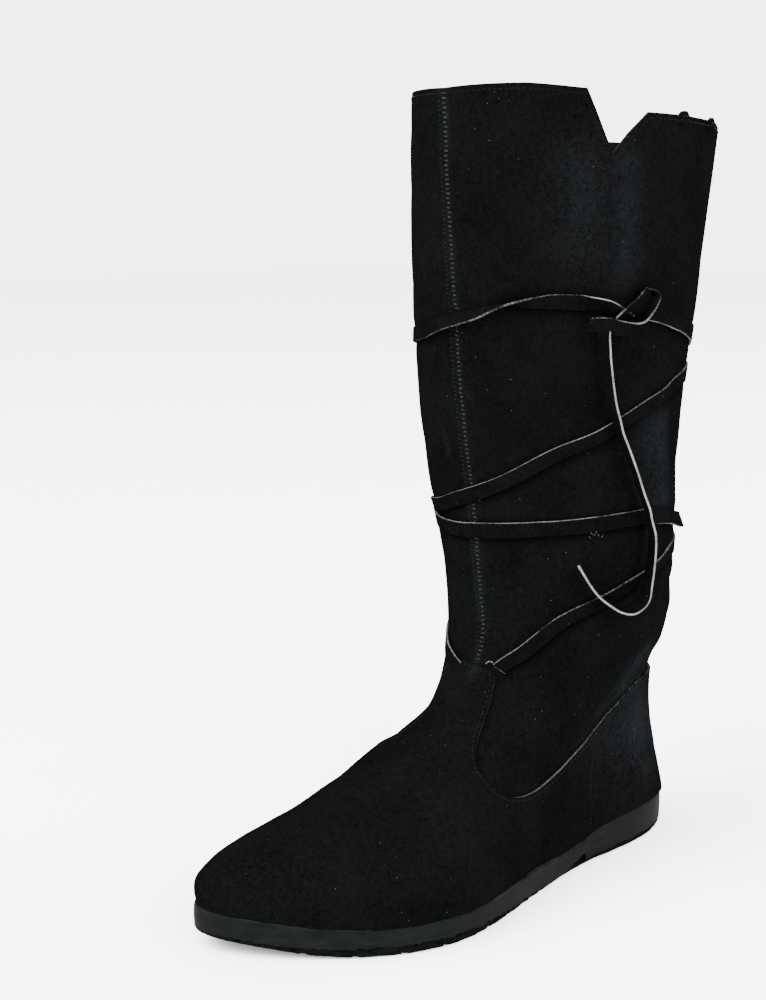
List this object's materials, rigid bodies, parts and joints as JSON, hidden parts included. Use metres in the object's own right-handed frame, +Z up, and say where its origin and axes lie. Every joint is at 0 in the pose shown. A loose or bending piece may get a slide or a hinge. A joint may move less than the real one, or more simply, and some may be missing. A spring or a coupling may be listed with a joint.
{
  "type": "medieval boot",
  "caption": "Left tall black suede boot with vamp and heel counter over a wide shaft, a side notch in the collar, a wound flat lace tied on the outer side and a grey rubber sole",
  "frame": {"origin": "middle of the heel's flat on the floor", "axes": "+Z up along the shaft, -Y toward the toe, +X toward the outer side of the foot"},
  "size_m": [0.1387, 0.2923, 0.3661],
  "materials": {
    "suede": "napped matt",
    "rubber": "moulded satin",
    "insole": "matt",
    "lace": "napped matt with pale cut edges"
  },
  "bodies": {
    "root": {"upper": "suede", "vamp": "suede", "counter": "suede", "outsole": "rubber", "insole": "insole", "lace_wraps": "lace", "lace_knot": "lace", "lace_hanging_end": "lace", "lace_short_end": "lace"}
  },
  "joints": []
}
